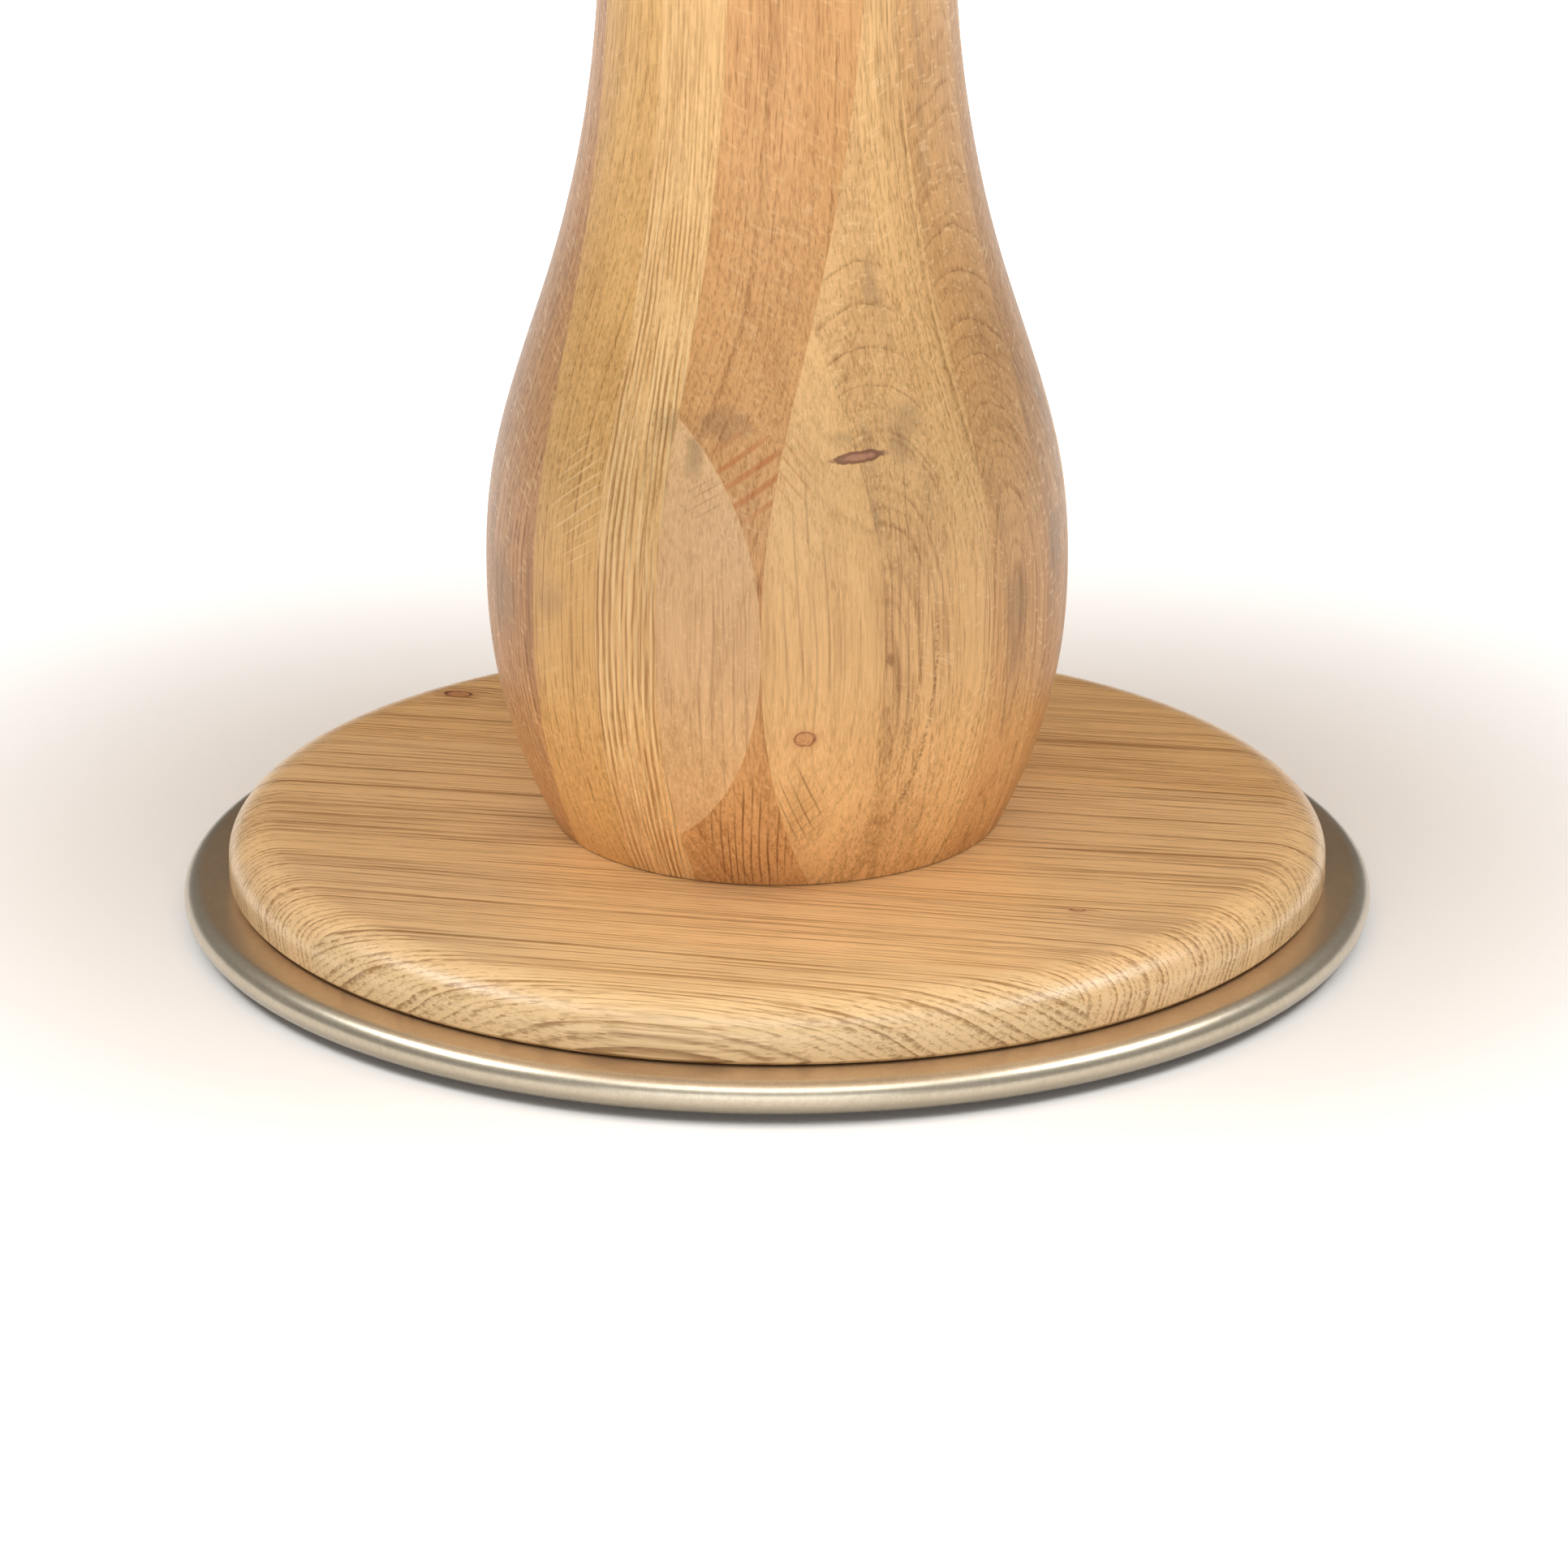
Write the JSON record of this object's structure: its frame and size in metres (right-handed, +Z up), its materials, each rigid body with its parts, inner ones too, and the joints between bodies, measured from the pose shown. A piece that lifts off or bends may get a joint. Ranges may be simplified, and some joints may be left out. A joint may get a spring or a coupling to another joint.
{
  "type": "round pedestal table",
  "caption": "Round oak table on a turned, vase-shaped laminated column, standing on an oak disc over a metal-lacquered base with a half-round rim.",
  "frame": {"origin": "on the floor, under the middle of the table", "axes": "+Z up; the front of the table faces -Y"},
  "size_m": [1.2, 1.2, 0.76],
  "materials": {
    "top_oak": "matt oiled oak",
    "column_oak": "matt oiled oak",
    "base_oak": "matt oiled oak",
    "beech": "plain",
    "fibreboard": "raw",
    "champagne_lacquer": "satin metallic lacquer",
    "ballast_steel": "black primer",
    "black_steel": "black powder coat",
    "zinc_steel": "zinc plated",
    "insert_brass": "plain",
    "dark_felt": "felt",
    "nylon": "moulded"
  },
  "bodies": {
    "table": {"ballast_plate": "ballast_steel", "base_board_1": "base_oak", "base_board_2": "base_oak", "base_board_3": "base_oak", "base_board_4": "base_oak", "base_board_5": "base_oak", "base_board_6": "base_oak", "base_cover": "champagne_lacquer", "base_felt": "dark_felt", "base_filler_ring": "fibreboard", "base_screws": "zinc_steel", "column_dowels": "beech", "column_pad": "dark_felt", "column_stave_01": "column_oak", "column_stave_02": "column_oak", "column_stave_03": "column_oak", "column_stave_04": "column_oak", "column_stave_05": "column_oak", "column_stave_06": "column_oak", "column_stave_07": "column_oak", "column_stave_08": "column_oak", "column_stave_09": "column_oak", "column_stave_10": "column_oak", "column_stave_11": "column_oak", "column_stave_12": "column_oak", "column_stave_13": "column_oak", "column_stave_14": "column_oak", "column_stave_15": "column_oak", "column_stave_16": "column_oak", "column_stave_17": "column_oak", "column_stave_18": "column_oak", "column_stave_19": "column_oak", "mounting_plate": "black_steel", "plate_screws": "zinc_steel", "stiffener_screws": "zinc_steel", "tie_rod": "zinc_steel", "tie_rod_nuts": "zinc_steel", "tie_rod_washers": "zinc_steel", "top_board_1": "top_oak", "top_board_2": "top_oak", "top_board_3": "top_oak", "top_board_4": "top_oak", "top_board_5": "top_oak", "top_board_6": "top_oak", "top_board_7": "top_oak", "top_board_8": "top_oak", "top_board_9": "top_oak", "top_bolts": "zinc_steel", "top_inserts": "insert_brass", "top_stiffener_left": "black_steel", "top_stiffener_right": "black_steel"},
    "foot_pad_1": {"foot_pad_1": "nylon"},
    "foot_stem_1": {"foot_stem_1": "zinc_steel"},
    "foot_pad_2": {"foot_pad_2": "nylon"},
    "foot_stem_2": {"foot_stem_2": "zinc_steel"},
    "foot_pad_3": {"foot_pad_3": "nylon"},
    "foot_stem_3": {"foot_stem_3": "zinc_steel"},
    "foot_pad_4": {"foot_pad_4": "nylon"},
    "foot_stem_4": {"foot_stem_4": "zinc_steel"}
  },
  "joints": [
    {"name": "foot_1_travel", "type": "slide", "parent": "table", "child": "foot_pad_1", "axis": [0, 0, -1], "range_m": [0, 0.006]},
    {"name": "foot_1_turn", "type": "hinge", "parent": "foot_pad_1", "child": "foot_stem_1", "pos_m": [0.17678, 0.17678, 0.01], "axis": [0, 0, -1], "range_deg": [0, 1440]},
    {"name": "foot_2_travel", "type": "slide", "parent": "table", "child": "foot_pad_2", "axis": [0, 0, -1], "range_m": [0, 0.006]},
    {"name": "foot_2_turn", "type": "hinge", "parent": "foot_pad_2", "child": "foot_stem_2", "pos_m": [-0.17678, 0.17678, 0.01], "axis": [0, 0, -1], "range_deg": [0, 1440]},
    {"name": "foot_3_travel", "type": "slide", "parent": "table", "child": "foot_pad_3", "axis": [0, 0, -1], "range_m": [0, 0.006]},
    {"name": "foot_3_turn", "type": "hinge", "parent": "foot_pad_3", "child": "foot_stem_3", "pos_m": [-0.17678, -0.17678, 0.01], "axis": [0, 0, -1], "range_deg": [0, 1440]},
    {"name": "foot_4_travel", "type": "slide", "parent": "table", "child": "foot_pad_4", "axis": [0, 0, -1], "range_m": [0, 0.006]},
    {"name": "foot_4_turn", "type": "hinge", "parent": "foot_pad_4", "child": "foot_stem_4", "pos_m": [0.17678, -0.17678, 0.01], "axis": [0, 0, -1], "range_deg": [0, 1440]}
  ],
  "couplings": [
    {"joint": "foot_1_turn", "follows": "foot_1_travel", "rad_per_m": 4188.8},
    {"joint": "foot_2_turn", "follows": "foot_2_travel", "rad_per_m": 4188.8},
    {"joint": "foot_3_turn", "follows": "foot_3_travel", "rad_per_m": 4188.8},
    {"joint": "foot_4_turn", "follows": "foot_4_travel", "rad_per_m": 4188.8}
  ]
}
